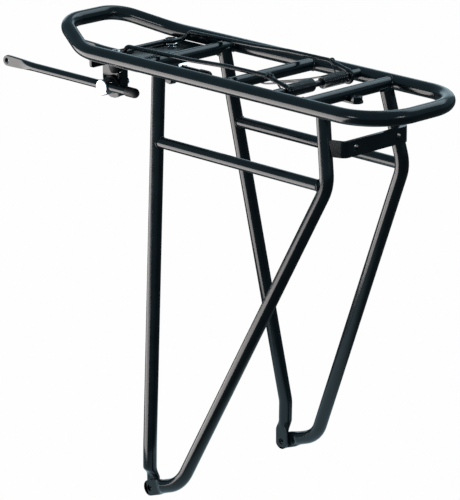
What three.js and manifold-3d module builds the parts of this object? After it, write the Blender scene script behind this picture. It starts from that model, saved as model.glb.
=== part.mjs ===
// Bicycle rear rack: a bent-tube deck on four legs, with pannier side rails, a light bracket,
// two adjustable stays in front and a sprung luggage clamp on top.
//
// Frame, in millimetres: +X towards the tail, +Y to the right side of the bicycle, +Z up.
// The origin is the midpoint between the two dropout eyelet holes in the feet.

import * as THREE from 'three';
import { mergeVertices } from 'three/addons/utils/BufferGeometryUtils.js';
import Module from 'manifold-3d';

const wasm = await Module();
wasm.setup();

// ---------------------------------------------------------------- driving dimensions

const GAP = 0.3; // clearance between two solids that touch

const deck = {
  radius: 6,
  height: 338, // tube centre above the eyelet holes
  halfWidth: 50.3,
  rearX: 220.6,
  rearBend: 39,
  noseX: -148.4, // front bar of the nose
  noseStartX: -101, // where the rails leave the straight
  noseHalfWidth: 28.7,
  noseRise: 12.4,
  shoulderBend: 50,
  noseBend: 26.4,
};

const crossbar = { radius: 5, frontX: -30.2, middleX: 59.3, rearX: 142.55 };

const leg = {
  radius: 5.5,
  frontTop: [-28.2, 35.7, 337.7],
  frontKnee: [0.4, 76.7, 35],
  rearTop: [150.8, 35, 335.2],
  rearHip: [162.3, 41.8, 277],
  rearKnee: [36, 77.2, 13.1],
  hipBend: 30,
  kneeBend: 31,
};

const foot = {
  width: 13.2,
  thickness: 2.8,
  holeRadius: 2.6,
  innerY: 71.6, // the front leg's tongue lies inside the rear leg's
  outerY: 74.7,
  flatLength: 9, // from the eyelet to where the section starts to fill out
  fullLength: 18.5,
};

const sideRail = { radius: 4.5, y: 43.8, z: 276.95 };

const lightBar = {
  x: 173.9,
  z: 305.9,
  height: 12.6,
  thickness: 3,
  halfSpan: 33.5,
  holeY: 23,
  holeRadius: 2.6,
};

const reflector = {
  width: 10,
  tipX: 157,
  thickness: 1.6,
  holeX: 152,
  holeRadius: 1.6,
  nutRadius: 4.2,
  nutHeight: 4,
};

const plate = { frontX: -101.2, rearX: -39.7, halfWidth: 46.8, top: 332.4, thickness: 2.4, lip: 9.5 };

const slot = { x: -85, inner: 11, outer: 38.5, halfWidth: 2.9 };

const bracket = {
  frontX: -98.5,
  rearX: -78.2,
  outerY: 32,
  innerY: 23.3,
  thickness: 2.2,
  tailRadius: 11.4,
  windowX: -89.7,
  windowZ: 319.7,
};

const screw = { y: 30.5, radius: 2.5, headFlats: 8, headHeight: 3.5, nutHeight: 3, washerRadius: 6 };

const eye = {
  x: -86.7,
  z: 309.9,
  drumRadius: 6.5,
  drumLength: 10,
  rodY: 40,
  shankRadius: 3,
  tipY: 14.5,
  washerRadius: 7.5,
  nutFlats: 10,
  nutHeight: 5,
};

const stay = {
  radius: 3.5,
  rearX: -52.3,
  neckRadius: 2.4,
  capRadius: 4,
  capLength: 8.5,
  holeX: -206,
  flatWidth: 9.4,
  flatThickness: 3,
  flatLength: 26,
};

const spring = {
  axleX: 109.9,
  axleZ: 339.5,
  axleRadius: 2.4,
  wireRadius: 1,
  meanRadius: 4.2,
  innerY: 5.2,
  turns: 12,
  pitch: 2.12,
};

const bail = {
  wireRadius: 1.75,
  armY: 34.2,
  frontX: -65.7,
  frontZ: 344.6,
  restZ: 346.1,
  crestZ: 348.6,
  lipX: -72.7,
  lipZ: 338.2,
  pullX: -77.2,
};

const bush = { radius: 3.6, innerY: 37.6 };

// ---------------------------------------------------------------- materials

const blackCoat = new THREE.MeshStandardMaterial({ color: 0x1c2225, roughness: 0.38, metalness: 0.35 });
const blackSpring = new THREE.MeshStandardMaterial({ color: 0x15191b, roughness: 0.42, metalness: 0.6 });
const chrome = new THREE.MeshStandardMaterial({ color: 0xe4e8ea, roughness: 0.14, metalness: 1 });
const blackRubber = new THREE.MeshStandardMaterial({ color: 0x0d0e0f, roughness: 0.75, metalness: 0 });

// ---------------------------------------------------------------- geometry helpers

const vec = (p) => new THREE.Vector3(...p);
const mirrored = (points) => points.map(([x, y, z]) => [x, -y, z]);

/** A curve through fixed stations, so that an extrusion has one ring at each of them. */
class StationPath extends THREE.Curve {
  constructor(stations, reference) {
    super();
    this.stations = stations;
    this.reference = reference;
  }

  getPoint(t) {
    const last = this.stations.length - 1;
    const index = Math.min(Math.floor(t * last + 1e-6), last - 1);
    return this.stations[index].clone().lerp(this.stations[index + 1], t * last - index);
  }

  getPointAt(u) {
    return this.getPoint(u);
  }

  getTangentAt(u) {
    const last = this.stations.length - 1;
    const index = Math.round(u * last);
    const before = this.stations[Math.max(index - 1, 0)];
    const here = this.stations[index];
    const after = this.stations[Math.min(index + 1, last)];
    const incoming = here.clone().sub(before).normalize();
    const outgoing = after.clone().sub(here).normalize();
    return incoming.add(outgoing).normalize();
  }

  /** Frames keep their normal towards one reference direction, so that flat sections stay true. */
  computeFrenetFrames(segments) {
    const frames = { tangents: [], normals: [], binormals: [] };
    for (let i = 0; i <= segments; i++) {
      const tangent = this.getTangentAt(i / segments);
      const normal = this.reference.clone().addScaledVector(tangent, -this.reference.dot(tangent));
      normal.normalize();
      frames.tangents.push(tangent);
      frames.normals.push(normal);
      frames.binormals.push(new THREE.Vector3().crossVectors(tangent, normal));
    }
    return frames;
  }
}

/** Stations along a polyline whose corners are rounded: corners is [[x, y, z, bendRadius], ...]. */
function roundedStations(corners, degreesPerStep) {
  const stations = [vec(corners[0].slice(0, 3))];
  for (let i = 1; i < corners.length - 1; i++) {
    const corner = vec(corners[i].slice(0, 3));
    const incoming = corner.clone().sub(vec(corners[i - 1].slice(0, 3))).normalize();
    const outgoing = vec(corners[i + 1].slice(0, 3)).sub(corner).normalize();
    const turn = incoming.angleTo(outgoing);
    const bend = corners[i][3];
    const setback = bend * Math.tan(turn / 2);
    const inward = outgoing.clone().sub(incoming).normalize();
    const centre = corner.clone().addScaledVector(inward, bend / Math.cos(turn / 2));
    const axis = new THREE.Vector3().crossVectors(incoming, outgoing).normalize();
    const spoke = corner.clone().addScaledVector(incoming, -setback).sub(centre);
    const steps = Math.max(2, Math.ceil(THREE.MathUtils.radToDeg(turn) / degreesPerStep));
    for (let k = 0; k <= steps; k++) {
      stations.push(spoke.clone().applyAxisAngle(axis, (turn * k) / steps).add(centre));
    }
  }
  stations.push(vec(corners[corners.length - 1].slice(0, 3)));
  return stations;
}

function circle(radius, sides) {
  const points = [];
  for (let i = 0; i < sides; i++) {
    const angle = ((i + 0.5) / sides) * 2 * Math.PI;
    points.push(new THREE.Vector2(radius * Math.cos(angle), radius * Math.sin(angle)));
  }
  return new THREE.Shape(points);
}

function rectangle(width, height) {
  const w = width / 2;
  const h = height / 2;
  return new THREE.Shape([
    new THREE.Vector2(-w, -h),
    new THREE.Vector2(w, -h),
    new THREE.Vector2(w, h),
    new THREE.Vector2(-w, h),
  ]);
}

/** A straight-sided shape through [x, y] pairs. */
const outline = (pairs) => new THREE.Shape(pairs.map(([x, y]) => new THREE.Vector2(x, y)));

function roundedRectangle(x0, y0, x1, y1, radius) {
  const shape = new THREE.Shape();
  shape.moveTo(x0 + radius, y0);
  shape.lineTo(x1 - radius, y0);
  shape.absarc(x1 - radius, y0 + radius, radius, -Math.PI / 2, 0, false);
  shape.lineTo(x1, y1 - radius);
  shape.absarc(x1 - radius, y1 - radius, radius, 0, Math.PI / 2, false);
  shape.lineTo(x0 + radius, y1);
  shape.absarc(x0 + radius, y1 - radius, radius, Math.PI / 2, Math.PI, false);
  shape.lineTo(x0, y0 + radius);
  shape.absarc(x0 + radius, y0 + radius, radius, Math.PI, 1.5 * Math.PI, false);
  return shape;
}

function sweep(shape, stations, reference = [0, 0, 1]) {
  const path = new StationPath(stations, vec(reference));
  return new THREE.ExtrudeGeometry(shape, { steps: stations.length - 1, extrudePath: path });
}

function tube(corners, radius, { sides = 12, step = 15, reference = [0, 0, 1] } = {}) {
  return sweep(circle(radius, sides), roundedStations(corners, step), reference);
}

/** A straight round bar or ring between two points on a line parallel to axis 'x', 'y' or 'z'. */
function bar(axis, centre, from, to, radius, sides = 16) {
  const geometry = new THREE.CylinderGeometry(radius, radius, to - from, sides);
  geometry.translate(0, (from + to) / 2, 0);
  if (axis === 'x') geometry.rotateZ(-Math.PI / 2);
  if (axis === 'z') geometry.rotateX(Math.PI / 2);
  return geometry.translate(...centre);
}

/** A flat plate: a shape drawn in the plane across the axis, from one coordinate to the other. */
function slab(axis, shape, from, to, curveSegments = 6) {
  const geometry = new THREE.ExtrudeGeometry(shape, { depth: to - from, bevelEnabled: false, curveSegments });
  geometry.translate(0, 0, from);
  if (axis === 'y') geometry.rotateX(Math.PI / 2).scale(1, -1, 1);
  if (axis === 'x') geometry.rotateX(Math.PI / 2).rotateZ(Math.PI / 2);
  return geometry;
}

function hexagon(centreX, centreY, acrossFlats, turn = 0) {
  const radius = acrossFlats / Math.sqrt(3);
  const points = [];
  for (let i = 0; i < 6; i++) {
    const angle = turn + (i * Math.PI) / 3;
    points.push([centreX + radius * Math.cos(angle), centreY + radius * Math.sin(angle)]);
  }
  return outline(points);
}

/** A closed geometry as a solid that can be joined and cut. */
function solid(geometry) {
  if (typeof geometry.subtract === 'function') return geometry;
  const bare = geometry.clone();
  bare.deleteAttribute('normal');
  bare.deleteAttribute('uv');
  const merged = mergeVertices(bare, 1e-4);
  const vertProperties = Float32Array.from(merged.attributes.position.array);
  const triVerts = Uint32Array.from(merged.index.array);
  const volume = signedVolume(vertProperties, triVerts);
  if (volume < 0) {
    for (let i = 0; i < triVerts.length; i += 3) {
      [triVerts[i + 1], triVerts[i + 2]] = [triVerts[i + 2], triVerts[i + 1]];
    }
  }
  return new wasm.Manifold(new wasm.Mesh({ numProp: 3, vertProperties, triVerts }));
}

function signedVolume(vertices, triangles) {
  let sum = 0;
  const point = (i) => new THREE.Vector3().fromArray(vertices, 3 * i);
  for (let i = 0; i < triangles.length; i += 3) {
    sum += point(triangles[i]).dot(point(triangles[i + 1]).cross(point(triangles[i + 2]))) / 6;
  }
  return sum;
}

const join = (...pieces) => pieces.map(solid).reduce((whole, piece) => whole.add(piece));
const cut = (body, ...tools) => tools.map(solid).reduce((rest, tool) => rest.subtract(tool), solid(body));
const common = (a, b) => solid(a).intersect(solid(b));

const rack = new THREE.Group();

function node(name, shape, material) {
  const { vertProperties, triVerts } = solid(shape).getMesh();
  const geometry = new THREE.BufferGeometry();
  geometry.setAttribute('position', new THREE.BufferAttribute(Float32Array.from(vertProperties), 3));
  geometry.setIndex(new THREE.BufferAttribute(Uint32Array.from(triVerts), 1));
  geometry.computeVertexNormals();
  const mesh = new THREE.Mesh(geometry, material);
  mesh.name = name;
  rack.add(mesh);
}

/** The same piece on the left (y < 0) and, reflected, on the right. */
function pair(name, makeLeft, material) {
  const left = solid(makeLeft());
  node(`left_${name}`, left, material);
  node(`right_${name}`, left.mirror([0, 1, 0]), material);
}

// ---------------------------------------------------------------- deck

function deckLoop() {
  const { height, halfWidth, rearX, rearBend, noseX, noseStartX, noseHalfWidth } = deck;
  const seamX = 100;
  const overlap = 0.5;
  const noseZ = height + deck.noseRise;
  const options = { sides: 16, step: 12 };
  const nose = tube(
    [
      [seamX, -halfWidth, height],
      [noseStartX, -halfWidth, height, deck.shoulderBend],
      [noseX, -noseHalfWidth, noseZ, deck.noseBend],
      [noseX, noseHalfWidth, noseZ, deck.noseBend],
      [noseStartX, halfWidth, height, deck.shoulderBend],
      [seamX, halfWidth, height],
    ],
    deck.radius,
    options,
  );
  const tail = tube(
    [
      [seamX - overlap, -halfWidth, height],
      [rearX, -halfWidth, height, rearBend],
      [rearX, halfWidth, height, rearBend],
      [seamX - overlap, halfWidth, height],
    ],
    deck.radius,
    options,
  );
  return join(nose, tail);
}

node('deck_loop', deckLoop(), blackCoat);

const railCutters = [-1, 1].map((side) =>
  bar('x', [0, side * deck.halfWidth, deck.height], -60, 170, deck.radius + GAP, 24),
);

for (const place of ['front', 'middle', 'rear']) {
  const x = crossbar[`${place}X`];
  const reach = deck.halfWidth - 3.3;
  const straight = bar('y', [x, 0, deck.height], -reach, reach, crossbar.radius);
  node(`crossbar_${place}`, cut(straight, ...railCutters), blackCoat);
}

// ---------------------------------------------------------------- legs and feet

/**
 * Presses the lower end of a leg flat. The leg runs up from the eyelet along one direction; its
 * section is widened across that direction and thinned onto the middle of its tongue.
 */
function pressFlat(geometry, along, tubeY, tongueY) {
  const across = new THREE.Vector3().crossVectors(along, new THREE.Vector3(0, 1, 0));
  const wide = foot.width / 2 / leg.radius;
  const thin = foot.thickness / 2 / leg.radius;
  const position = geometry.attributes.position;
  const p = new THREE.Vector3();
  for (let i = 0; i < position.count; i++) {
    p.fromBufferAttribute(position, i);
    const t = 1 - THREE.MathUtils.smoothstep(p.dot(along), foot.flatLength, foot.fullLength);
    p.addScaledVector(across, p.dot(across) * t * (wide - 1));
    p.y = THREE.MathUtils.lerp(p.y, tongueY + (p.y - tubeY) * thin, t);
    position.setXYZ(i, p.x, p.y, p.z);
  }
  return geometry;
}

/** A tongue with a round end about the eyelet, running along +x from it. */
function footTongue(fromY, toY) {
  const r = foot.width / 2;
  const along = foot.flatLength - 1;
  const shape = new THREE.Shape();
  shape.moveTo(along, -r);
  shape.lineTo(along, r);
  shape.lineTo(0, r);
  shape.absarc(0, 0, r, Math.PI / 2, 1.5 * Math.PI, false);
  return slab('y', shape, fromY, toY, 8);
}

const eyeletDrill = () => bar('y', [0, 0, 0], -90, -60, foot.holeRadius, 16);
const halfPressed = (foot.fullLength + foot.flatLength) / 2;
const footSteps = [foot.fullLength, halfPressed, foot.flatLength, foot.flatLength - 2];

function frontLeg(radius = leg.radius) {
  const [topX, topY, topZ] = leg.frontTop;
  const [kneeX, kneeY, kneeZ] = leg.frontKnee;
  const ends = footSteps.map((z) => [0, -kneeY, z]);
  const stations = roundedStations([[topX, -topY, topZ], [kneeX, -kneeY, kneeZ, leg.kneeBend], ends[0]], 8);
  return sweep(circle(radius, 12), [...stations, ...ends.slice(1).map(vec)], [1, 0, 0]);
}

const rearFootRise = Math.atan2(leg.rearKnee[2], leg.rearKnee[0]);
const rearFootAlong = new THREE.Vector3(Math.cos(rearFootRise), 0, Math.sin(rearFootRise));

function rearLeg(radius = leg.radius) {
  const [topX, topY, topZ] = leg.rearTop;
  const [hipX, hipY, hipZ] = leg.rearHip;
  const [kneeX, kneeY, kneeZ] = leg.rearKnee;
  const ends = footSteps.map((d) => [d * rearFootAlong.x, -kneeY, d * rearFootAlong.z]);
  const knee = [kneeX, -kneeY, kneeZ, leg.kneeBend];
  const hip = [hipX, -hipY, hipZ, leg.hipBend];
  const stations = roundedStations([[topX, -topY, topZ], hip, knee, ends[0]], 10);
  return sweep(circle(radius, 12), [...stations, ...ends.slice(1).map(vec)], [0, 1, 0]);
}

const crossbarCutter = (x) => bar('y', [x, 0, deck.height], -60, 60, crossbar.radius + GAP, 24);

pair(
  'front_leg',
  () => {
    const inner = -foot.innerY;
    const up = new THREE.Vector3(0, 0, 1);
    const bent = pressFlat(frontLeg(), up, -leg.frontKnee[1], inner - foot.thickness / 2);
    const tongue = footTongue(inner - foot.thickness, inner).rotateY(-Math.PI / 2);
    return cut(join(bent, tongue), crossbarCutter(crossbar.frontX), eyeletDrill());
  },
  blackCoat,
);

pair(
  'rear_leg',
  () => {
    const inner = -foot.outerY;
    const bent = pressFlat(rearLeg(), rearFootAlong, -leg.rearKnee[1], inner - foot.thickness / 2);
    const tongue = footTongue(inner - foot.thickness, inner).rotateY(-rearFootRise);
    return cut(join(bent, tongue), crossbarCutter(crossbar.rearX), eyeletDrill());
  },
  blackCoat,
);

// ---------------------------------------------------------------- pannier side rails

pair(
  'side_rail',
  () => {
    const rail = bar('x', [0, -sideRail.y, sideRail.z], -20.7, 158.3, sideRail.radius, 14);
    return cut(rail, frontLeg(leg.radius + GAP), rearLeg(leg.radius + GAP));
  },
  blackCoat,
);

// ---------------------------------------------------------------- light bracket and reflector tab

function lightBracket() {
  const { x, z, height, thickness, halfSpan, holeY, holeRadius } = lightBar;
  const middleX = x - thickness / 2;
  const half = [
    [middleX - 15, -halfSpan - 5.3, z],
    [middleX, -halfSpan, z, 4],
  ];
  const corners = [...half, ...mirrored(half).reverse().map((c, i) => [...c, half[half.length - 1 - i][3]])];
  const strip = sweep(rectangle(height, thickness), roundedStations(corners, 20));
  const drills = [-1, 1].map((side) => bar('x', [0, side * holeY, z], x - 10, x + 5, holeRadius, 16));
  const legs = [rearLeg(leg.radius + GAP), solid(rearLeg(leg.radius + GAP)).mirror([0, 1, 0])];
  return cut(strip, ...drills, ...legs);
}

node('light_bracket', lightBracket(), blackCoat);

const tabTop = deck.height - crossbar.radius - GAP;
const tabHole = () => bar('z', [reflector.holeX, 0, 0], tabTop - 5, tabTop + 9, reflector.holeRadius, 14);

function reflectorTab() {
  const { width, tipX, thickness } = reflector;
  const r = width / 2;
  const shape = new THREE.Shape();
  shape.moveTo(crossbar.rearX - 2, -r);
  shape.absarc(tipX - r, 0, r, -Math.PI / 2, Math.PI / 2, false);
  shape.lineTo(crossbar.rearX - 2, r);
  return cut(slab('z', shape, tabTop - thickness, tabTop, 12), tabHole());
}

node('reflector_tab', reflectorTab(), blackCoat);

const nutSeat = tabTop + GAP;
const nutTop = nutSeat + reflector.nutHeight;
const weldNut = bar('z', [reflector.holeX, 0, 0], nutSeat, nutTop, reflector.nutRadius, 16);
node('reflector_nut', cut(weldNut, tabHole()), blackCoat);

// ---------------------------------------------------------------- stay plate

function stayPlate() {
  const { frontX, rearX, halfWidth, top, thickness, lip } = plate;
  const bottom = top - thickness;
  const table = slab('z', roundedRectangle(frontX, -halfWidth, rearX, halfWidth, 3), bottom, top);
  const lipShape = roundedRectangle(-halfWidth + 3, top - lip, halfWidth - 3, top - 0.2, 2.5);
  const apron = slab('x', lipShape, frontX, frontX + thickness);
  const slots = [-1, 1].map((side) => {
    const y0 = side > 0 ? slot.inner : -slot.outer;
    const y1 = side > 0 ? slot.outer : -slot.inner;
    const w = slot.halfWidth;
    const shape = roundedRectangle(slot.x - w, y0, slot.x + w, y1, w - 0.01);
    return slab('z', shape, bottom - 5, top + 5);
  });
  return cut(join(table, apron), ...slots);
}

node('stay_plate', stayPlate(), blackCoat);

// ---------------------------------------------------------------- stay brackets and their screws

const bracketTop = plate.top - plate.thickness - GAP;

pair(
  'stay_bracket',
  () => {
    const { frontX, rearX, outerY, innerY, thickness, tailRadius } = bracket;
    const topFlange = slab(
      'z',
      roundedRectangle(frontX, -outerY, rearX, -innerY + 3, 1.5),
      bracketTop - thickness,
      bracketTop,
    );
    const bottom = eye.z - tailRadius;
    const middleY = outerY - thickness / 2;
    const fold = [
      [frontX, -middleY, 0],
      [rearX - thickness / 2, -middleY, 0, 2.5],
      [rearX - thickness / 2, -innerY, 0],
    ].map(([x, y, , r]) => [x, y, (bottom + bracketTop) / 2, r]);
    const wall = sweep(rectangle(bracketTop - bottom - 0.4, thickness), roundedStations(fold, 20));
    const profile = new THREE.Shape();
    profile.moveTo(frontX - 1, bracketTop + 1);
    profile.lineTo(frontX - 1, eye.z + 4);
    profile.lineTo(frontX + 0.05, eye.z + 4);
    profile.lineTo(frontX + 0.3, eye.z);
    profile.absarc(eye.x - 0.3, eye.z, tailRadius, Math.PI, 1.8 * Math.PI, false);
    profile.lineTo(rearX + 1, eye.z - 4);
    profile.lineTo(rearX + 1, bracketTop + 1);
    const kept = common(wall, slab('y', profile, -outerY - 1, -innerY + 1, 8));
    // a window through the outer wall and its fold leaves room for the head of the screw
    const opening = roundedRectangle(bracket.windowX, bracket.windowZ, rearX + 8, bracketTop + 8, 3.5);
    const walls = cut(kept, slab('y', opening, -outerY - 1, -outerY + thickness + 0.6));
    const shankHole = bar('y', [eye.x, 0, eye.z], -outerY - 1, -outerY + 5, eye.shankRadius + GAP, 16);
    const screwHole = bar('z', [slot.x, -screw.y, 0], bracketTop - 5, bracketTop + 2, screw.radius + GAP, 16);
    return cut(join(topFlange, walls), shankHole, screwHole);
  },
  blackCoat,
);

pair(
  'bracket_screw',
  () => {
    const headTop = bracketTop - bracket.thickness - GAP;
    const headShape = hexagon(slot.x, -screw.y, screw.headFlats, Math.PI / 6);
    const head = slab('z', headShape, headTop - screw.headHeight, headTop);
    const tip = plate.top + GAP + 1.2 + GAP + screw.nutHeight + 0.5;
    return join(head, bar('z', [slot.x, -screw.y, 0], headTop - 1, tip, screw.radius, 14));
  },
  chrome,
);

const washerBottom = plate.top + GAP;
const nutBottom = washerBottom + 1.2 + GAP;

pair(
  'bracket_washer',
  () =>
    cut(
      bar('z', [slot.x, -screw.y, 0], washerBottom, washerBottom + 1.2, screw.washerRadius, 20),
      bar('z', [slot.x, -screw.y, 0], washerBottom - 2, washerBottom + 3, screw.radius + GAP, 14),
    ),
  chrome,
);

pair(
  'bracket_nut',
  () =>
    cut(
      slab('z', hexagon(slot.x, -screw.y, screw.headFlats, 0.35), nutBottom, nutBottom + screw.nutHeight),
      bar('z', [slot.x, -screw.y, 0], nutBottom - 2, nutBottom + 8, screw.radius + GAP, 14),
    ),
  chrome,
);

// ---------------------------------------------------------------- eye bolts

const drumInner = eye.rodY - eye.drumLength / 2;
const drumOuter = eye.rodY + eye.drumLength / 2;

pair(
  'eye_bolt',
  () => {
    const drum = bar('y', [eye.x, 0, eye.z], -drumOuter, -drumInner, eye.drumRadius, 20);
    const shank = bar('y', [eye.x, 0, eye.z], -drumInner - 1, -eye.tipY, eye.shankRadius, 14);
    const drill = bar('x', [0, -eye.rodY, eye.z], eye.x - 12, eye.x + 12, stay.radius + GAP + 0.1, 16);
    return cut(join(drum, shank), drill);
  },
  chrome,
);

pair(
  'eye_washer',
  () => {
    const from = -drumInner + GAP;
    const to = -bracket.outerY - GAP;
    return cut(
      bar('y', [eye.x, 0, eye.z], from, to, eye.washerRadius, 20),
      bar('y', [eye.x, 0, eye.z], from - 2, to + 2, eye.shankRadius + GAP, 14),
    );
  },
  blackRubber,
);

pair(
  'eye_nut',
  () => {
    const from = -bracket.outerY + bracket.thickness + GAP;
    return cut(
      slab('y', hexagon(eye.x, eye.z, eye.nutFlats, 0.2), from, from + eye.nutHeight),
      bar('y', [eye.x, 0, eye.z], from - 2, from + eye.nutHeight + 2, eye.shankRadius + GAP, 14),
    );
  },
  chrome,
);

// ---------------------------------------------------------------- stays

pair(
  'stay',
  () => {
    const { radius, rearX, holeX, flatWidth, flatThickness, flatLength } = stay;
    const flatEnd = holeX + flatLength;
    const shoulder = rearX - stay.capLength - GAP;
    const neck = bar('x', [0, -eye.rodY, eye.z], shoulder - 2, rearX - GAP, stay.neckRadius, 12);
    const stations = [shoulder, -120, flatEnd + 9, flatEnd + 4.5, flatEnd, flatEnd - 2].map(
      (x) => new THREE.Vector3(x, -eye.rodY, eye.z),
    );
    const rod = sweep(circle(radius, 12), stations);
    const position = rod.attributes.position;
    for (let i = 0; i < position.count; i++) {
      const t = THREE.MathUtils.smoothstep(-position.getX(i), -flatEnd - 9, -flatEnd);
      const wide = 1 + t * (flatWidth / 2 / radius - 1);
      const thin = 1 + t * ((flatThickness / 2 / radius) * 1.03 - 1);
      position.setZ(i, eye.z + (position.getZ(i) - eye.z) * wide);
      position.setY(i, -eye.rodY + (position.getY(i) + eye.rodY) * thin);
    }
    const tongue = new THREE.Shape();
    const r = flatWidth / 2;
    tongue.moveTo(flatEnd, eye.z - r);
    tongue.lineTo(flatEnd, eye.z + r);
    tongue.lineTo(holeX, eye.z + r);
    tongue.absarc(holeX, eye.z, r, Math.PI / 2, 1.5 * Math.PI, false);
    const blade = slab('y', tongue, -eye.rodY - flatThickness / 2, -eye.rodY + flatThickness / 2, 8);
    const drill = bar('y', [holeX, 0, eye.z], -eye.rodY - 5, -eye.rodY + 5, foot.holeRadius, 16);
    return cut(join(rod, neck, blade), drill);
  },
  blackCoat,
);

pair(
  'stay_cap',
  () => {
    const outer = stay.capRadius;
    const bore = stay.neckRadius + GAP;
    const mouth = stay.rearX - stay.capLength;
    const profile = [[0, stay.rearX], [bore, stay.rearX], [bore, mouth]];
    profile.push([outer, mouth], [outer, stay.rearX]);
    for (let k = 1; k <= 4; k++) {
      const angle = (k / 4) * (Math.PI / 2);
      profile.push([outer * Math.cos(angle), stay.rearX + outer * Math.sin(angle)]);
    }
    profile[profile.length - 1][0] = 0;
    const points = profile.map(([r, x]) => new THREE.Vector2(r, x));
    return new THREE.LatheGeometry(points, 14).rotateZ(-Math.PI / 2).translate(0, -eye.rodY, eye.z);
  },
  blackRubber,
);

// ---------------------------------------------------------------- luggage clamp

node('spring_axle', bar('y', [spring.axleX, 0, spring.axleZ], -43, 43, spring.axleRadius, 14), blackCoat);

pair(
  'axle_bush',
  () =>
    cut(
      bar('y', [spring.axleX, 0, spring.axleZ], -deck.halfWidth + 2, -bush.innerY, bush.radius, 16),
      bar('y', [spring.axleX, 0, spring.axleZ], -43.5, -bush.innerY + 1, spring.axleRadius + GAP, 14),
      railCutters[0],
    ),
  blackCoat,
);

/** Points on a circle about the clamp axle; angle 0 is straight up, positive towards the front. */
function aroundAxle(radius, angle, y) {
  const { axleX, axleZ } = spring;
  return new THREE.Vector3(axleX - radius * Math.sin(angle), y, axleZ + radius * Math.cos(angle));
}

function clampBail() {
  const { wireRadius, armY, frontX, frontZ, restZ, crestZ, lipX, lipZ, pullX } = bail;
  const eyeRadius = spring.axleRadius + GAP + wireRadius + 0.25;
  const half = [];
  // an open eye: it starts behind the axle, passes under it and rises over its front
  for (let k = 0; k <= 14; k++) {
    const angle = Math.PI * (-1.45 + (1.5 * k) / 14);
    half.push(aroundAxle(eyeRadius, angle, -armY));
  }
  const arm = roundedStations(
    [
      half[half.length - 1].toArray(),
      [89.3, -armY, crestZ, 12],
      [45.3, -armY, crestZ - 0.4, 60],
      [7.3, -armY, restZ, 60],
      [frontX, -armY, frontZ, 5],
      [lipX, -armY + 0.6, lipZ, 4],
      [lipX - 0.6, -22, lipZ, 6],
      [pullX, -14, lipZ, 6],
      [pullX, 0, lipZ],
    ],
    22,
  );
  const left = [...half, ...arm.slice(1)];
  const right = left
    .slice(0, -1)
    .map((p) => new THREE.Vector3(p.x, -p.y, p.z))
    .reverse();
  return [...left, ...right];
}

const bailStations = clampBail();

/** Sweeps a wire whose direction turns every way, with frames carried along it. */
function wire(stations, radius, sides) {
  const path = new StationPath(stations, vec([0, 1, 0]));
  path.computeFrenetFrames = function carriedFrames(segments) {
    const frames = { tangents: [], normals: [], binormals: [] };
    let normal = new THREE.Vector3(0, 1, 0);
    for (let i = 0; i <= segments; i++) {
      const tangent = this.getTangentAt(i / segments);
      normal = normal.clone().addScaledVector(tangent, -normal.dot(tangent)).normalize();
      frames.tangents.push(tangent);
      frames.normals.push(normal);
      frames.binormals.push(new THREE.Vector3().crossVectors(tangent, normal));
    }
    return frames;
  };
  return new THREE.ExtrudeGeometry(circle(radius, sides), { steps: stations.length - 1, extrudePath: path });
}

node('clamp_bail', wire(bailStations, bail.wireRadius, 8), blackCoat);

pair(
  'spring',
  () => {
    const { meanRadius, innerY, turns, pitch, wireRadius, axleX } = spring;
    const perTurn = 9;
    // the inner leg bears on the underside of the middle crossbar
    const legEnd = [crossbar.middleX - 7, -innerY, deck.height - crossbar.radius - GAP - wireRadius];
    const leaveAngle = 0.3;
    const innerLeg = [
      new THREE.Vector3(...legEnd),
      new THREE.Vector3(legEnd[0] + 9, legEnd[1], legEnd[2] - 0.1),
      aroundAxle(meanRadius, leaveAngle, -innerY).add(new THREE.Vector3(-18, 0, -5.2)),
    ];
    const coil = [];
    const outerAngle = 2.5 - 2 * Math.PI; // the outer leg leaves below the front of the coil
    const sweepAngle = 2 * Math.PI * turns + (leaveAngle - outerAngle);
    const steps = Math.round(perTurn * (sweepAngle / (2 * Math.PI)));
    for (let k = 0; k <= steps; k++) {
      const t = k / steps;
      coil.push(aroundAxle(meanRadius, leaveAngle - sweepAngle * t, -innerY - pitch * turns * t));
    }
    const last = coil[coil.length - 1];
    // the outer leg climbs forward from the coil and hooks over the bail's arm
    const hookX = 93.5;
    const hookRise = bail.crestZ + bail.wireRadius + GAP + wireRadius;
    const armInner = -bail.armY + bail.wireRadius + GAP + wireRadius + 0.2;
    const outerLeg = [
      new THREE.Vector3(axleX - 9, last.y + 0.2, last.z + 4.6),
      new THREE.Vector3(hookX + 3, armInner + 0.3, bail.crestZ - 1.5),
      new THREE.Vector3(hookX, armInner + 0.3, hookRise - 0.9),
      new THREE.Vector3(hookX - 0.6, -bail.armY + 0.6, hookRise),
      new THREE.Vector3(hookX - 1, -bail.armY - 2.2, hookRise - 0.8),
      new THREE.Vector3(hookX - 1, -bail.armY - 3.4, bail.crestZ - 0.8),
    ];
    return wire([...innerLeg, ...coil, ...outerLeg], wireRadius, 6);
  },
  blackSpring,
);

export default rack;
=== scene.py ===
# Looks of the rear rack: smooth tubes, welds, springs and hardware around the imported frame.
# Dimensions are in millimetres and meshes in metres, in the frame's own axes. They repeat the CAD
# part's, except at the springs' wire and mean radius, the slot screws' heads, the reflector tab and
# its nut, the eye bolts' drums and shanks, the axle bushes' inner ends, the stays' flat ends and
# their holes, and the rear legs' tops. The weld beads are only here.
import math

import bmesh
import bpy
from mathutils import Euler, Matrix, Vector


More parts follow.
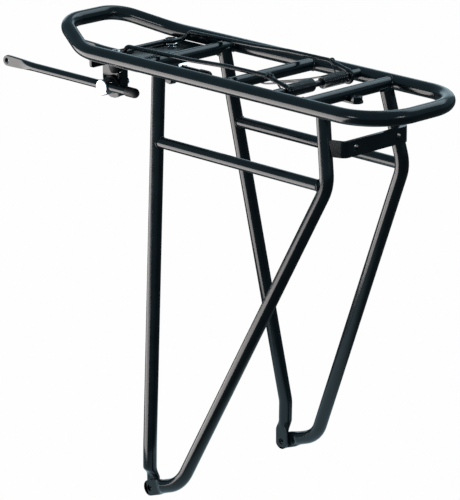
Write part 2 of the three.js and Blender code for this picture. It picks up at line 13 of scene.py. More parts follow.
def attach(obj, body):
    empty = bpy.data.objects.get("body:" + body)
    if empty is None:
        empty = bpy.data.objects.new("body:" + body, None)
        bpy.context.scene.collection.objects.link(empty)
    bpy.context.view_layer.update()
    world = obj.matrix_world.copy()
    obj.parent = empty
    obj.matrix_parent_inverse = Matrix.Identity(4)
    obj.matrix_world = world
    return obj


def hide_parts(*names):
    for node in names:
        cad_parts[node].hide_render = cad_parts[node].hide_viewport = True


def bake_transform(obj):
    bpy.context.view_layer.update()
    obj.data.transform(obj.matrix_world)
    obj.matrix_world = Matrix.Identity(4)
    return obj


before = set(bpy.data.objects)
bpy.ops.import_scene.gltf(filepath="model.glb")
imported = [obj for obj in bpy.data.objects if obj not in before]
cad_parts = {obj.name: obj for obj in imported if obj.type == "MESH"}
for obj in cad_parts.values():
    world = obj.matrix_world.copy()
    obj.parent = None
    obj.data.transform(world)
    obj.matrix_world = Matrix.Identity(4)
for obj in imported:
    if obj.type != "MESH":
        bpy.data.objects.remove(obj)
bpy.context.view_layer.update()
scene = bpy.context.scene
MM = 0.001

# ---------------------------------------------------------------- dimensions, in millimetres

DECK = dict(radius=6, z=338.0, half=50.3, rear=220.6, rear_bend=39, nose=-148.4, shoulder=-101)
DECK.update(nose_half=28.7, rise=12.4, shoulder_bend=50, nose_bend=26.4)
CROSSBAR_X = dict(front=-30.2, middle=59.3, rear=142.55)
CROSSBAR_R, CROSSBAR_Z = 5, 338
LEG_R = 5.5
FRONT_TOP, FRONT_KNEE = (-28.2, -35.7, 337.7), (0.4, -76.7, 35)
# the rear leg ends against the lower rear side of the crossbar
REAR_TOP = (150.6, -35, 335.6)
REAR_HIP, REAR_KNEE = (162.3, -41.8, 277), (36, -77.2, 13.1)
FOOT = dict(width=13.2, thick=2.8, hole=2.6, inner=71.6, outer=74.7, flat=9, full=18.5)
FOOT.update(top=60, square=2.6, bulge=0.04, tip_from=7)
RAIL = dict(radius=4.5, y=43.8, z=276.95, start=-22, end=159, front_weld=-22.4, rear_weld=161.0)
EYE = dict(x=-86.7, z=309.9, drum=6.5, y=40, length=10, drum_dx=0.4, drum_dz=-0.7, tip=16.6, washer=7.5)
EYE.update(shank=2.82, thread=0.16, thread_step=0.25)
STAY = dict(radius=3.5, rear=-52.3, neck=2.4, cap=4, cap_len=8.5, hole=-206, wide=9.2, thick=3.6, flat=15)
STAY.update(taper=22, narrow_from=4, narrow_over=30, square=2.4, drill=2.5, neck_x=-61.05)
AXLE = dict(x=109.9, z=339.5, radius=2.4, half=44.6, bush=3.6, bush_y=36.5, bush_end=47.5, bush_bore=2.45)
SPRING = dict(mean=4.45, wire=0.7, inner=5.2, turns=12, pitch=2.12, hook_x=93.5)
BAIL = dict(wire=1.75, y=34.2, front=-65.7, front_z=344.6, rest=346.1, crest=348.6)
BAIL.update(lip_x=-72.7, lip_z=338.2, pull=-77.2)
PLATE_TOP = 332.4
TAB = dict(x=152, root=140, half=5.2, low=332.3, top=334, nut=4.6, nut_top=337.6, hole=1.6)
WELD = dict(lift=0.15, sink=0.1, waves=18, ripple=0.1)
LEG_BEAD = dict(x=147.2, lift=0.1, step=0.4, radius=0.9, ripple=0.12, wave=1.9)
SCREW = dict(x=-85, y=30.5, radius=2.5, washer=6, head=5.4, seat=327.6, head_low=319.2, tip=337.2)

# ---------------------------------------------------------------- node materials


def nodes_of(name):
    material = bpy.data.materials.new(name)
    material.use_nodes = True
    tree = material.node_tree
    return material, tree, tree.nodes["Principled BSDF"]


def noise(tree, scale, detail=3.0, rough=0.5):
    coords = tree.nodes.new("ShaderNodeTexCoord")
    texture = tree.nodes.new("ShaderNodeTexNoise")
    texture.inputs["Scale"].default_value = scale
    texture.inputs["Detail"].default_value = detail
    texture.inputs["Roughness"].default_value = rough
    tree.links.new(coords.outputs["Object"], texture.inputs["Vector"])
    return texture.outputs["Fac"]


def ramp(tree, source, low, high, positions=(0.35, 0.65)):
    node = tree.nodes.new("ShaderNodeValToRGB")
    for element, colour, position in zip(node.color_ramp.elements, (low, high), positions):
        element.color = (*colour, 1)
        element.position = position
    tree.links.new(source, node.inputs["Fac"])
    return node.outputs["Color"]


def spread(tree, source, low, high):
    node = tree.nodes.new("ShaderNodeMapRange")
    node.inputs["From Min"].default_value, node.inputs["From Max"].default_value = 0.3, 0.7
    node.inputs["To Min"].default_value, node.inputs["To Max"].default_value = low, high
    tree.links.new(source, node.inputs["Value"])
    return node.outputs["Result"]


def bump(tree, source, strength, distance, after=None):
    node = tree.nodes.new("ShaderNodeBump")
    node.inputs["Strength"].default_value = strength
    node.inputs["Distance"].default_value = distance
    tree.links.new(source, node.inputs["Height"])
    if after is not None:
        tree.links.new(after, node.inputs["Normal"])
    return node.outputs["Normal"]


def finish_material(name, low, high, rough, metallic, specular, scales, bumps, coat=0.0):
    """A surface whose colour, gloss and relief vary at a coarse and a fine scale."""
    material, tree, shader = nodes_of(name)
    coarse, fine = noise(tree, scales[0]), noise(tree, scales[1], 4.0, 0.6)
    tree.links.new(ramp(tree, coarse, low, high), shader.inputs["Base Color"])
    tree.links.new(spread(tree, coarse, *rough), shader.inputs["Roughness"])
    relief = bump(tree, coarse, bumps[0], 0.0004)
    tree.links.new(bump(tree, fine, bumps[1], 0.0002, relief), shader.inputs["Normal"])
    shader.inputs["Metallic"].default_value = metallic
    shader.inputs["Specular IOR Level"].default_value = specular
    shader.inputs["Coat Weight"].default_value = coat
    shader.inputs["Coat Roughness"].default_value = 0.12
    return material


BLACK_COAT = finish_material(
    "black_powder_coat", (0.0025, 0.0055, 0.0075), (0.0045, 0.009, 0.0115), (0.14, 0.2), 0.0, 0.5,
    (60, 900), (0.05, 0.04))
SPRING_STEEL = finish_material(
    "black_spring_steel", (0.003, 0.004, 0.005), (0.007, 0.009, 0.011), (0.1, 0.18), 0.0, 1.0,
    (120, 1400), (0.05, 0.06), 0.6)
BLACKENED = finish_material(
    "blackened_steel", (0.003, 0.004, 0.005), (0.006, 0.008, 0.009), (0.45, 0.6), 0.0, 0.25,
    (110, 1300), (0.06, 0.08))
RUBBER = finish_material(
    "black_rubber", (0.004, 0.004, 0.0045), (0.009, 0.009, 0.01), (0.42, 0.6), 0.0, 0.35,
    (90, 1600), (0.1, 0.25))
CHROME = finish_material(
    "chrome", (0.78, 0.8, 0.82), (0.86, 0.88, 0.9), (0.07, 0.16), 1.0, 0.5, (70, 1100), (0.04, 0.05))

# ---------------------------------------------------------------- curves and sweeps


def V(*p):
    return Vector(p)


def rounded(corners, step=4.0):
    """Points along a polyline, millimetres, with corners (x, y, z, bend radius) rounded."""
    points = [Vector(corners[0][:3])]
    for before, corner, after in zip(corners, corners[1:], corners[2:]):
        here = Vector(corner[:3])
        a = (here - Vector(before[:3])).normalized()
        b = (Vector(after[:3]) - here).normalized()
        turn = a.angle(b)
        if turn < 1e-3:
            points.append(here)
            continue
        bend = corner[3]
        centre = here + (b - a).normalized() * (bend / math.cos(turn / 2))
        spoke = here - a * (bend * math.tan(turn / 2)) - centre
        axis = a.cross(b).normalized()
        steps = max(3, math.ceil(math.degrees(turn) / step))
        points += [centre + Matrix.Rotation(turn * k / steps, 3, axis) @ spoke for k in range(steps + 1)]
    points.append(Vector(corners[-1][:3]))
    return points


def refine(points, spacing):
    out = []
    for a, b in zip(points, points[1:]):
        count = max(1, round((b - a).length / spacing))
        out += [a.lerp(b, k / count) for k in range(count)]
    return out + [points[-1]]


def mirror_y(points):
    return [V(p.x, -p.y, p.z) for p in points]


def carried_frames(points, closed, start):
    """Tangent, normal and binormal at each point, with as little twist as possible."""
    count = len(points)
    frames, normal = [], Vector(start)
    for i, p in enumerate(points):
        if closed:
            before, after = points[i - 1], points[(i + 1) % count]
        else:
            before, after = points[max(i - 1, 0)], points[min(i + 1, count - 1)]
        tangent = (after - before).normalized()
        normal = (normal - tangent * normal.dot(tangent)).normalized()
        frames.append((tangent, normal.copy(), tangent.cross(normal)))
    return frames


def add_object(name, mesh_builder, material, slot, body, nodes=()):
    """Builds a mesh in millimetres, scales it to metres and files it with the frame."""
    bm = bmesh.new()
    mesh_builder(bm)
    bmesh.ops.scale(bm, vec=(MM, MM, MM), verts=bm.verts)
    bmesh.ops.recalc_face_normals(bm, faces=bm.faces)
    mesh = bpy.data.meshes.new(name)
    bm.to_mesh(mesh)
    bm.free()
    obj = bpy.data.objects.new(name, mesh)
    scene.collection.objects.link(obj)
    mesh.materials.append(material)
    mesh.shade_smooth()
    if body:
        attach(obj, body)
    if nodes:
        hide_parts(*nodes)
    return obj


def sweep_into(bm, points, radius, sides=24, closed=False, start=(0, 1, 0), round_ends=False):
    """A round tube along points; radius is a number or a function of the point's index."""
    radius_at = radius if callable(radius) else (lambda i: radius)
    frames = carried_frames(points, closed, start)
    rings = []
    extra = []
    if round_ends and not closed:
        extra = [(math.sin(a), math.cos(a)) for a in (1.3, 0.9, 0.45)]
    stations = []
    for i, (p, (t, n, b)) in enumerate(zip(points, frames)):
        if i == 0:
            stations += [(p - t * radius_at(0) * s, radius_at(0) * c, n, b) for s, c in extra]
        stations.append((p, radius_at(i), n, b))
        if i == len(points) - 1:
            stations += [(p + t * radius_at(i) * s, radius_at(i) * c, n, b) for s, c in extra[::-1]]
    for p, r, n, b in stations:
        angles = [2 * math.pi * k / sides for k in range(sides)]
        rings.append([bm.verts.new(p + (n * math.cos(a) + b * math.sin(a)) * r) for a in angles])
    pairs = list(zip(rings, rings[1:])) + ([(rings[-1], rings[0])] if closed else [])
    for low, high in pairs:
        for k in range(sides):
            bm.faces.new((low[k], low[(k + 1) % sides], high[(k + 1) % sides], high[k]))
    if not closed:
        bm.faces.new(rings[0][::-1])
        bm.faces.new(rings[-1])
    return rings


def swept(name, points, radius, material, slot, body, nodes=(), **options):
    return add_object(name, lambda bm: sweep_into(bm, points, radius, **options), material, slot, body, nodes)


def lathe_into(bm, profile, place, sides=48):
    """Turns (radius, height) pairs about z, closed on the axis or on itself, then places them."""
    rings = []
    for r, h in profile:
        if r < 1e-6:
            rings.append([bm.verts.new(place @ V(0, 0, h))])
        else:
            ring = [2 * math.pi * k / sides for k in range(sides)]
            rings.append([bm.verts.new(place @ V(r * math.cos(a), r * math.sin(a), h)) for a in ring])
    loop = profile[0][0] > 1e-6
    pairs = list(zip(rings, rings[1:])) + ([(rings[-1], rings[0])] if loop else [])
    for low, high in pairs:
        for k in range(sides):
            j = (k + 1) % sides
            corners = [low[k % len(low)], low[j % len(low)], high[j % len(high)], high[k % len(high)]]
            unique = list(dict.fromkeys(corners))
            if len(unique) > 2:
                bm.faces.new(unique)


ALONG = {
    "x": Euler((0, math.pi / 2, 0)).to_matrix().to_4x4(),
    "y": Euler((-math.pi / 2, 0, 0)).to_matrix().to_4x4(),
    "z": Matrix.Identity(4),
}


def turned(name, profile, axis, centre, material, slot, body, nodes=(), sides=48):
    place = Matrix.Translation(centre) @ ALONG[axis]
    obj = add_object(name, lambda bm: lathe_into(bm, profile, place, sides), material, slot, body, nodes)
    sharpen(obj)
    return obj


def sharpen(obj, angle=35):
    obj.data.set_sharp_from_angle(angle=math.radians(angle))


def rod_profile(radius, low, high, chamfer):
    c = chamfer
    return [(0, low), (radius - c, low), (radius, low + c), (radius, high - c), (radius - c, high), (0, high)]


def ring_profile(inner, outer, low, high, c):
    return [(inner, low + c), (inner + c, low), (outer - c, low), (outer, low + c),
            (outer, high - c), (outer - c, high), (inner + c, high), (inner, high - c)]


def cut_away(obj, cutters):
    """Cuts shapes out of obj; each cutter is a function that builds its mesh in millimetres."""
    for build in cutters:
        bm = bmesh.new()
        build(bm)
        bmesh.ops.scale(bm, vec=(MM, MM, MM), verts=bm.verts)
        bmesh.ops.recalc_face_normals(bm, faces=bm.faces)
        mesh = bpy.data.meshes.new("cutter")
        bm.to_mesh(mesh)
        bm.free()
        cutter = bpy.data.objects.new("cutter", mesh)
        scene.collection.objects.link(cutter)
        modifier = obj.modifiers.new("cut", "BOOLEAN")
        modifier.operation = "DIFFERENCE"
        modifier.solver = "EXACT"
        modifier.object = cutter
        bpy.context.view_layer.update()
        result = bpy.data.meshes.new_from_object(obj.evaluated_get(bpy.context.evaluated_depsgraph_get()))
        obj.modifiers.clear()
        old, obj.data = obj.data, result
        bpy.data.meshes.remove(old)
        bpy.data.objects.remove(cutter)
        bpy.data.meshes.remove(mesh)


def drill(axis, centre, radius, low, high, sides=32):
    place = Matrix.Translation(centre) @ ALONG[axis]
    return lambda bm: lathe_into(bm, [(0, low), (radius, low), (radius, high), (0, high)], place, sides)


def bevelled(obj, width, segments=2, angle=35):
    modifier = obj.modifiers.new("edges", "BEVEL")
    modifier.width = width * MM
    modifier.segments = segments
    modifier.limit_method = "ANGLE"
    modifier.angle_limit = math.radians(angle)
    modifier.harden_normals = True


COAT = (BLACK_COAT, "black_coat")
SIDES = (("left", 1), ("right", -1))


def side_points(points, sign):
    return points if sign > 0 else mirror_y(points)


# ---------------------------------------------------------------- deck

nose_z = DECK["z"] + DECK["rise"]
half_loop = [
    (DECK["rear"], -DECK["half"], DECK["z"], DECK["rear_bend"]),
    (DECK["shoulder"], -DECK["half"], DECK["z"], DECK["shoulder_bend"]),
    (DECK["nose"], -DECK["nose_half"], nose_z, DECK["nose_bend"]),
]
loop = half_loop + [(x, -y, z, r) for x, y, z, r in half_loop[::-1]]
middle_rear = (DECK["rear"], 0, DECK["z"])
loop_points = refine(rounded([middle_rear, *loop, middle_rear], 3.0), 8)[:-1]
swept("deck_loop_tube", loop_points, DECK["radius"], *COAT, "rack", ["deck_loop"],
      sides=40, closed=True, start=(0, 0, 1))


def weld(name, centre, axis, tube_radius, host_radius, host_axis, body, size):
    """A weld bead round a tube where it meets a bigger tube: a wavy ring on the saddle curve."""
    axis, host_axis = Vector(axis).normalized(), Vector(host_axis).normalized()
    side = axis.cross(host_axis).normalized()
    up = side.cross(axis).normalized()
    count = 72
    points = []
    for k in range(count):
        a = 2 * math.pi * k / count
        offset = (side * math.cos(a) + up * math.sin(a)) * (tube_radius + WELD["lift"])
        # distance from the host's centre line across both tubes sets how far out the saddle is
        reach = math.sqrt(max((host_radius + WELD["sink"]) ** 2 - offset.dot(side) ** 2, 0.5))
        points.append(Vector(centre) + offset + axis * reach)
    wave = [size * (1 + WELD["ripple"] * math.sin(k * 2 * math.pi / count * WELD["waves"]))
            for k in range(count)]
    return swept(name, points, lambda i: wave[i], *COAT, body, sides=10, closed=True, start=axis)


for place, x in CROSSBAR_X.items():
    ends = [V(x, -DECK["half"], CROSSBAR_Z), V(x, DECK["half"], CROSSBAR_Z)]
    swept(f"crossbar_{place}_tube", refine(ends, 4), CROSSBAR_R, *COAT, "rack", [f"crossbar_{place}"],
          sides=32, start=(0, 0, 1))
    for side, sign in SIDES:
        weld(f"weld_{side}_crossbar_{place}", (x, -sign * DECK["half"], CROSSBAR_Z), (0, sign, 0),
             CROSSBAR_R, DECK["radius"], (1, 0, 0), "rack", 0.7)

# ---------------------------------------------------------------- legs and feet


def leg_points(corners, along, tube_y):
    """The leg's centre line: its bends, then a straight end through the foot."""
    straight = [along * d for d in (FOOT["full"] + 2, FOOT["full"])]
    down = [V(p.x, tube_y, p.z) for p in straight]
    foot = [V(*(along * d)) for d in [FOOT["full"] - 0.75 * k for k in range(1, 17)]]
    tail = [V(p.x, tube_y, p.z) for p in foot]
    return refine(rounded([*corners, tuple(down[0])]), 9) + down[1:] + tail


def build_leg(name, corners, along, tube_y, inner, sign, node):
    """A round tube whose end is pressed flat about the eyelet."""
    points = leg_points(corners, along, tube_y)
    across = along.cross(V(0, 1, 0))
    middle = -inner - FOOT["thick"] / 2
    wide, thin = FOOT["width"] / 2 / LEG_R, FOOT["thick"] / 2 / LEG_R
    points_end = points[-1].dot(along)
    tip_from = FOOT["tip_from"]

    def builder(bm):
        sweep_into(bm, points, LEG_R, sides=36, start=(1, 0, 0) if along.x < 0.5 else (0, 1, 0))
        bmesh.ops.triangulate(bm, faces=[f for f in bm.faces if len(f.verts) > 4])
        for v in bm.verts:
            d = v.co.dot(along)
            if v.co.z > FOOT["top"]:
                continue
            t = min(max((d - FOOT["flat"]) / (FOOT["full"] - FOOT["flat"]), 0), 1)
            t = 1 - t * t * (3 - 2 * t)
            if t <= 0:
                continue
            s = v.co.dot(across) / LEG_R
            u = (v.co.y - tube_y) / LEG_R
            # the pressed section is a flat bar with rounded edges
            edge = max(abs(s), 1e-9)
            flat_u = math.copysign(min(1.0, abs(u) * FOOT["square"]), u) if abs(u) > 1e-6 else 0
            target_y = middle + flat_u * LEG_R * thin
            target_s = s * wide * (1 + FOOT["bulge"] * (1 - edge))
            v.co += across * ((target_s - s) * LEG_R * t)
            v.co.y += (target_y - v.co.y) * t
            # the end is round about the eyelet
            end = v.co.dot(along)
            w = v.co.dot(across)
            if end < tip_from:
                half = FOOT["width"] / 2
                reach = -math.sqrt(max(half * half - min(abs(w), half) ** 2, 0))
                k = (tip_from - end) / (tip_from - points_end)
                v.co += along * ((tip_from + (reach - tip_from) * k) - end)

    obj = add_object(name, builder, *COAT, "rack", [node])
    cut_away(obj, [drill("y", (0, 0, 0), FOOT["hole"], -95, 95)])
    if sign < 0:
        obj.data.transform(Matrix.Scale(-1, 4, (0, 1, 0)))
        obj.data.flip_normals()
    obj.data.shade_smooth()
    sharpen(obj, 50)


rise = math.atan2(REAR_KNEE[2], REAR_KNEE[0])
rear_along = V(math.cos(rise), 0, math.sin(rise))
for side, sign in SIDES:
    build_leg(f"{side}_front_leg_tube", [FRONT_TOP, (*FRONT_KNEE, 31)], V(0, 0, 1), FRONT_KNEE[1],
              FOOT["inner"], sign, f"{side}_front_leg")
    build_leg(f"{side}_rear_leg_tube", [REAR_TOP, (*REAR_HIP, 30), (*REAR_KNEE, 31)], rear_along,
              REAR_KNEE[1], FOOT["outer"], sign, f"{side}_rear_leg")
    front_way = (Vector(FRONT_KNEE) - Vector(FRONT_TOP)).normalized()
    weld(f"weld_{side}_front_leg", V(CROSSBAR_X["front"], FRONT_TOP[1] * sign, CROSSBAR_Z),
         V(front_way.x, front_way.y * sign, front_way.z), LEG_R, CROSSBAR_R, (0, 1, 0), "rack", 0.7)
    bead = [V(LEG_BEAD["x"], (REAR_TOP[1] + LEG_BEAD["step"] * k) * sign, REAR_TOP[2] + LEG_BEAD["lift"])
            for k in range(-10, 11)]
    swept(f"weld_{side}_rear_leg", bead,
          lambda i: LEG_BEAD["radius"] + LEG_BEAD["ripple"] * math.sin(LEG_BEAD["wave"] * i),
          *COAT, "rack", sides=10, start=(0, 0, 1), round_ends=True)

# ---------------------------------------------------------------- side rails

for side, sign in SIDES:
    y = -RAIL["y"] * sign
    ends = [V(RAIL["start"], y, RAIL["z"]), V(RAIL["end"], y, RAIL["z"])]
    swept(f"{side}_side_rail_tube", refine(ends, 5), RAIL["radius"], *COAT, "rack", [f"{side}_side_rail"],
          sides=32, start=(0, 0, 1))
    weld(f"weld_{side}_rail_front", (RAIL["front_weld"], y, RAIL["z"]), (1, 0, 0),
         RAIL["radius"], LEG_R, (0, 0, 1), "rack", 0.55)
    weld(f"weld_{side}_rail_rear", (RAIL["rear_weld"], y, RAIL["z"]), (-1, 0, 0),
         RAIL["radius"], LEG_R, (0, 0, 1), "rack", 0.55)

# ---------------------------------------------------------------- sheet metal that keeps its CAD shape

KEPT = {
    "light_bracket": (0.45, BLACK_COAT),
    "stay_plate": (0.5, BLACK_COAT),
    "left_stay_bracket": (0.35, BLACK_COAT),
    "right_stay_bracket": (0.35, BLACK_COAT),
    "left_bracket_nut": (0.35, CHROME),
    "right_bracket_nut": (0.35, CHROME),
    "left_eye_nut": (0.4, CHROME),
    "right_eye_nut": (0.4, CHROME),
}
for name, (width, material) in KEPT.items():
    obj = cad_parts[name]
    obj.data.materials.clear()
    obj.data.materials.append(material)
    bevelled(obj, width)

turned("reflector_weld_nut", ring_profile(TAB["hole"], TAB["nut"], TAB["top"] - 0.1, TAB["nut_top"], 0.4),
       "z", (TAB["x"], 0, 0), *COAT, "rack", ["reflector_nut"], 36)


def build_tab(bm):
    """A strip with a round tip, welded under the rear crossbar."""
    tip = [math.radians(a) for a in range(-90, 91, 6)]
    outline = [(TAB["root"], -TAB["half"])]
    outline += [(TAB["x"] + TAB["half"] * math.cos(a), TAB["half"] * math.sin(a)) for a in tip]
    outline += [(TAB["root"], TAB["half"])]
    low = [bm.verts.new(V(x, y, TAB["low"])) for x, y in outline]
    high = [bm.verts.new(V(x, y, TAB["top"])) for x, y in outline]
    bm.faces.new(low[::-1])
    bm.faces.new(high)
    for k in range(len(outline)):
        j = (k + 1) % len(outline)
        bm.faces.new((low[k], low[j], high[j], high[k]))


tab = add_object("reflector_tab_plate", build_tab, *COAT, "rack", ["reflector_tab"])
cut_away(tab, [drill("z", (TAB["x"], 0, 0), TAB["hole"], TAB["low"] - 5, TAB["top"] + 5)])
sharpen(tab)
bevelled(tab, 0.3)

# ---------------------------------------------------------------- washers, eye bolts and stays

for side, sign in SIDES:
    chrome = (CHROME, "chrome")
    bracket, eye, rod = f"{side}_bracket", f"{side}_eye", f"{side}_stay_rod"
    y = -sign
    turned(f"{side}_screw_washer", ring_profile(2.8, SCREW["washer"], 0, 1.2, 0.3), "z",
           (SCREW["x"], SCREW["y"] * y, PLATE_TOP + 0.3), *chrome, bracket, [f"{side}_bracket_washer"])
    low, wide = SCREW["head_low"], SCREW["head"]
    head = [(0, low), (wide - 2.6, low), (wide - 1.7, low + 0.5), (wide - 0.7, low + 3), (wide, low + 6),
            (wide, SCREW["seat"]), (SCREW["radius"], SCREW["seat"] + 0.02),
            (SCREW["radius"], SCREW["tip"] - 0.4), (SCREW["radius"] - 0.4, SCREW["tip"]), (0, SCREW["tip"])]
    turned(f"{side}_slot_screw", head, "z", (SCREW["x"], SCREW["y"] * y, 0), BLACKENED,
           "black_spring_steel", bracket, [f"{side}_bracket_screw"], 40)
    drum = turned(
        f"{side}_eye_drum", rod_profile(EYE["drum"], -EYE["length"] / 2, EYE["length"] / 2, 0.7), "y",
        (EYE["x"] + EYE["drum_dx"], EYE["y"] * y, EYE["z"] + EYE["drum_dz"]),
        *chrome, eye, [f"{side}_eye_bolt"], 64)
    cut_away(drum, [drill("x", (EYE["x"], EYE["y"] * y, EYE["z"]), STAY["radius"] + 0.35, -12, 12)])
    drum.data.shade_smooth()
    sharpen(drum, 30)
    shank = [V(EYE["x"], 36 * y, EYE["z"]), V(EYE["x"], EYE["tip"] * y, EYE["z"])]
    thread_points = refine(shank, EYE["thread_step"])
    swept(f"{side}_eye_shank", thread_points,
          lambda i: EYE["shank"] + EYE["thread"] * math.sin(i * EYE["thread_step"] * 2 * math.pi),
          *chrome, eye, sides=24, start=(0, 0, 1))
    turned(f"{side}_eye_rubber_washer", ring_profile(3.1, EYE["washer"], -1.2, 1.2, 0.4), "y",
           (EYE["x"], 33.5 * y, EYE["z"]), RUBBER, "black_rubber", eye, [f"{side}_eye_washer"])

    # the stay: a rod pressed flat at its front end, with a necked rear end inside its cap
    flat_end = STAY["hole"] + STAY["flat"]
    xs = [STAY["hole"] - STAY["wide"] / 2 + 0.01 + 0.4 * k for k in range(90)]
    xs += [flat_end + 14 + 6 * k for k in range(0, 22)]
    xs = sorted(x for x in set(xs) if x < -62) + [-61.3, -61.0, -60.9, -53.0]
    rod_points = [V(x, EYE["y"] * y, EYE["z"]) for x in xs]

    def build_stay(bm, points=rod_points, end=flat_end, y=y):
        sweep_into(bm, points, lambda i: STAY["neck"] if points[i].x > STAY["neck_x"] else STAY["radius"],
                   sides=28, start=(0, 0, 1))
        for v in bm.verts:
            t = min(max((end + STAY["taper"] - v.co.x) / STAY["taper"], 0), 1)
            t = t * t * (3 - 2 * t)
            behind = v.co.x - STAY["hole"] - STAY["narrow_from"]
            narrow = min(max(behind / STAY["narrow_over"], 0), 1)
            u = (v.co.y - EYE["y"] * y) / STAY["radius"]
            s = (v.co.z - EYE["z"]) / STAY["radius"]
            flat_u = math.copysign(min(1.0, abs(u) * STAY["square"]), u)
            half = STAY["wide"] / 2
            into = max(STAY["hole"] - v.co.x, 0)
            width = math.sqrt(max(half * half - into * into, 0.02))
            v.co.y += (EYE["y"] * y + flat_u * STAY["thick"] / 2 - v.co.y) * t
            width += (STAY["radius"] - half) * narrow
            v.co.z += (EYE["z"] + s * width - v.co.z) * t

    stay = add_object(f"{side}_stay_rod_body", build_stay, *COAT, rod, [f"{side}_stay"])
    cut_away(stay, [drill("y", (STAY["hole"], EYE["y"] * y, EYE["z"]), STAY["drill"], -8, 8)])
    stay.data.shade_smooth()
    sharpen(stay, 50)
    cap = STAY["cap"]
    mouth = -STAY["cap_len"]
    profile = [(0, -0.2), (2.6, -0.2), (2.6, mouth + 0.3), (3.0, mouth)]
    profile += [(cap - 0.2, mouth), (cap, mouth + 0.4)]
    profile += [(cap * math.cos(a), cap * math.sin(a)) for a in [k * math.pi / 20 for k in range(0, 10)]]
    profile += [(0, cap)]
    turned(f"{side}_stay_end_cap", profile, "x", (STAY["rear"], EYE["y"] * y, EYE["z"]),
           RUBBER, "black_rubber", rod, [f"{side}_stay_cap"], 40)

# ---------------------------------------------------------------- clamp: axle, bail and springs

axle_ends = [V(AXLE["x"], -AXLE["half"], AXLE["z"]), V(AXLE["x"], AXLE["half"], AXLE["z"])]
swept("clamp_axle", refine(axle_ends, 4), AXLE["radius"], *COAT, "rack", ["spring_axle"],
      sides=28, start=(0, 0, 1))
for side, sign in SIDES:
    low, high = (-AXLE["bush_end"], -AXLE["bush_y"]) if sign > 0 else (AXLE["bush_y"], AXLE["bush_end"])
    turned(f"{side}_axle_boss", ring_profile(AXLE["bush_bore"], AXLE["bush"], low, high, 0.5), "y",
           (AXLE["x"], 0, AXLE["z"]), *COAT, "rack", [f"{side}_axle_bush"], 36)


def around_axle(radius, angle, y):
    return V(AXLE["x"] - radius * math.sin(angle), y, AXLE["z"] + radius * math.cos(angle))


eye_radius = AXLE["radius"] + 0.3 + BAIL["wire"] + 0.25
arm_y = -BAIL["y"]
bail_eye = [around_axle(eye_radius, math.pi * (-1.45 + 1.5 * k / 36), arm_y) for k in range(37)]
arm = rounded([
    tuple(bail_eye[-1]),
    (89.3, arm_y, BAIL["crest"], 12),
    (45.3, arm_y, BAIL["crest"] - 0.4, 60),
    (7.3, arm_y, BAIL["rest"], 60),
    (BAIL["front"], arm_y, BAIL["front_z"], 5),
    (BAIL["lip_x"], arm_y + 0.6, BAIL["lip_z"], 4),
    (BAIL["lip_x"] - 0.6, -22, BAIL["lip_z"], 6),
    (BAIL["pull"], -14, BAIL["lip_z"], 6),
    (BAIL["pull"], 0, BAIL["lip_z"]),
], 6)
left_half = bail_eye + refine(arm, 3)[1:]
bail_points = left_half + mirror_y(left_half[:-1])[::-1]
swept("clamp_bail_wire", bail_points, BAIL["wire"], *COAT, "clamp", ["clamp_bail"],
      sides=20, start=(0, 1, 0), round_ends=True)


def smooth_curve(points, count):
    """Catmull-Rom through the points."""
    out = []
    padded = [points[0] * 2 - points[1], *points, points[-1] * 2 - points[-2]]
    for a, b, c, d in zip(padded, padded[1:], padded[2:], padded[3:]):
        for k in range(count):
            t = k / count
            out.append(0.5 * (2 * b + (c - a) * t + (2 * a - 5 * b + 4 * c - d) * t * t
                              + (3 * b - a - 3 * c + d) * t ** 3))
    return out + [points[-1]]


def spring_points():
    """The left spring's wire: a leg under the middle crossbar, the coil, and a hook over the bail's arm."""
    mean, inner, wire = SPRING["mean"], SPRING["inner"], SPRING["wire"]
    leg_end = V(CROSSBAR_X["middle"] - 7, -inner, CROSSBAR_Z - CROSSBAR_R - 0.3 - wire)
    leave = 0.3
    inner_leg = [leg_end, leg_end + V(9, 0, -0.1), around_axle(mean, leave, -inner) + V(-18, 0, -5.2)]
    outer_angle = 2.5 - 2 * math.pi
    total = 2 * math.pi * SPRING["turns"] + (leave - outer_angle)
    steps = round(26 * total / (2 * math.pi))
    coil = [
        around_axle(mean, leave - total * k / steps, -inner - SPRING["pitch"] * SPRING["turns"] * k / steps)
        for k in range(steps + 1)
    ]
    last = coil[-1]
    hook_x = SPRING["hook_x"]
    hook_rise = BAIL["crest"] + BAIL["wire"] - 0.5 + wire
    arm_inner = arm_y + BAIL["wire"] + 0.3 + wire + 0.2
    outer_leg = [
        V(AXLE["x"] - 9, last.y + 0.2, last.z + 4.6),
        V(hook_x + 3, arm_inner - 0.1, BAIL["crest"] - 2.2),
        V(hook_x, arm_inner - 0.2, hook_rise - 1.3),
        V(hook_x - 0.6, arm_y + 0.6, hook_rise),
        V(hook_x - 1, arm_y - 2.2, hook_rise - 0.8),
        V(hook_x - 1, arm_y - 3.4, BAIL["crest"] - 0.8),
    ]
    start = smooth_curve([*inner_leg, coil[0]], 6)[:-1]
    end = smooth_curve([last, *outer_leg], 6)[1:]
    return start + coil + end


left_spring = spring_points()
for side, sign in SIDES:
    coil = swept(f"{side}_torsion_spring", side_points(left_spring, sign), SPRING["wire"], SPRING_STEEL,
                 "black_spring_steel", None, [f"{side}_spring"], sides=12, start=(0, 1, 0), round_ends=True)
    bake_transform(coil)

# ---------------------------------------------------------------- floor, lights and camera


PALE = (0.99, 0.99, 0.99, 1)
FLOOR_BRIGHT, FLOOR_DIM = 0.8, 0.08
FLOOR_FADE_FROM, FLOOR_FADE_TO = 0.07, 0.22  # metres from the origin


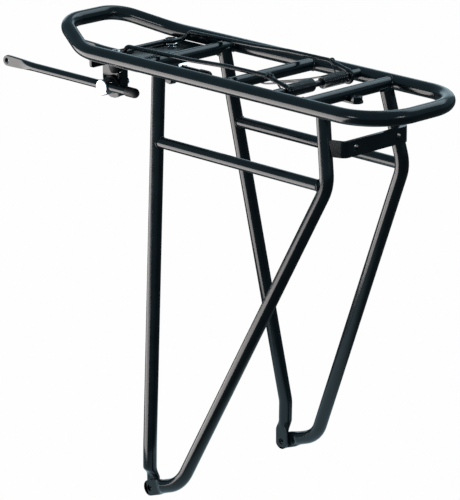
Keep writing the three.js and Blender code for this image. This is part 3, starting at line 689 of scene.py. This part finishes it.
def plane(name, size, location, material):
    bm = bmesh.new()
    w, h = size[0] / 2, size[1] / 2
    bm.faces.new([bm.verts.new(V(x, y, 0)) for x, y in ((-w, -h), (w, -h), (w, h), (-w, h))])
    mesh = bpy.data.meshes.new(name)
    bm.to_mesh(mesh)
    bm.free()
    obj = bpy.data.objects.new(name, mesh)
    scene.collection.objects.link(obj)
    obj.location = location
    mesh.materials.append(material)
    return obj


def pale_floor():
    """White to the camera; dim and cool in reflections, brighter near the feet."""
    material, tree, shader = nodes_of("pale_floor")
    tree.nodes.remove(shader)
    coords = tree.nodes.new("ShaderNodeTexCoord")
    distance = tree.nodes.new("ShaderNodeVectorMath")
    distance.operation = "LENGTH"
    tree.links.new(coords.outputs["Object"], distance.inputs[0])
    fade = tree.nodes.new("ShaderNodeMapRange")
    fade.interpolation_type = "SMOOTHSTEP"
    fade.inputs["From Min"].default_value = FLOOR_FADE_FROM
    fade.inputs["From Max"].default_value = FLOOR_FADE_TO
    fade.inputs["To Min"].default_value = FLOOR_BRIGHT
    fade.inputs["To Max"].default_value = FLOOR_DIM
    tree.links.new(distance.outputs["Value"], fade.inputs["Value"])
    dim = tree.nodes.new("ShaderNodeEmission")
    dim.inputs["Color"].default_value = (0.62, 0.88, 1.0, 1)
    tree.links.new(fade.outputs["Result"], dim.inputs["Strength"])
    white = tree.nodes.new("ShaderNodeEmission")
    white.inputs["Color"].default_value = PALE
    mix = tree.nodes.new("ShaderNodeMixShader")
    path = tree.nodes.new("ShaderNodeLightPath")
    tree.links.new(path.outputs["Is Camera Ray"], mix.inputs["Fac"])
    tree.links.new(dim.outputs["Emission"], mix.inputs[1])
    tree.links.new(white.outputs["Emission"], mix.inputs[2])
    tree.links.new(mix.outputs["Shader"], tree.nodes["Material Output"].inputs["Surface"])
    return material


plane("floor", (60, 60), (0, 0, -0.0075), pale_floor())


def area_light(name, location, target, size, radiance, colour=(1, 1, 1), glossy=True):
    data = bpy.data.lights.new(name, "AREA")
    data.shape = "RECTANGLE"
    data.size, data.size_y = size
    data.energy = radiance * math.pi * size[0] * size[1]
    data.color = colour
    obj = bpy.data.objects.new(name, data)
    scene.collection.objects.link(obj)
    obj.location = location
    obj.rotation_euler = (Vector(target) - Vector(location)).to_track_quat("-Z", "Y").to_euler()
    obj.visible_camera = False
    obj.visible_glossy = glossy


WARM, COOL = (1.0, 0.955, 0.935), (0.72, 0.91, 1.0)
area_light("low_card", (-1.25, -1.33, 0.002), (-1.25, -1.33, 1.0), (2.5, 2.36), 5.0, WARM)
area_light("back_card", (-1.9, 1.85, 0.75), (0.05, 0, 0.25), (2.6, 1.2), 0.9, COOL)
area_light("side_box", (0.15, -1.48, 0.79), (0.2, -0.04, 0.338), (0.34, 0.13), 11.0)
area_light("rear_box", (1.65, 0.1, 0.79), (0.22, -0.02, 0.338), (0.34, 0.13), 11.0)
area_light("right_card", (0.0, 1.45, 1.75), (0.1, 0, 0.33), (1.7, 1.0), 2.0, COOL)
area_light("top_key", (0.2, 0.2, 2.2), (0.05, 0, 0.1), (2.0, 2.0), 1.6, (1, 1, 1), glossy=False)

world = bpy.data.worlds.new("studio")
scene.world = world
world.use_nodes = True
tree = world.node_tree
background = tree.nodes["Background"]
background.inputs["Color"].default_value = (0.5, 0.82, 1.0, 1)
background.inputs["Strength"].default_value = 0.26
pale = tree.nodes.new("ShaderNodeBackground")
pale.inputs["Color"].default_value = PALE
mix = tree.nodes.new("ShaderNodeMixShader")
path = tree.nodes.new("ShaderNodeLightPath")
tree.links.new(path.outputs["Is Camera Ray"], mix.inputs["Fac"])
tree.links.new(background.outputs["Background"], mix.inputs[1])
tree.links.new(pale.outputs["Background"], mix.inputs[2])
tree.links.new(mix.outputs["Shader"], tree.nodes["World Output"].inputs["Surface"])
scene.view_settings.view_transform = "Standard"
scene.view_settings.look = "None"

camera_data = bpy.data.cameras.new("camera")
camera = bpy.data.objects.new("camera", camera_data)
scene.collection.objects.link(camera)
scene.camera = camera
camera_data.lens = 230.4
camera_data.sensor_width = 36
camera_data.clip_end = 100
camera_place = V(1.76395256, -1.69358031, 0.94457549)
camera_right = V(0.69658538, 0.71745599, -0.0050705)
camera_up = V(-0.2100785, 0.21071461, 0.95470748)
camera_back = V(0.68602903, -0.66397007, 0.2975028)
camera_turn = Matrix([[camera_right[i], camera_up[i], camera_back[i]] for i in range(3)])
camera.matrix_world = Matrix.Translation(camera_place) @ camera_turn.to_4x4()
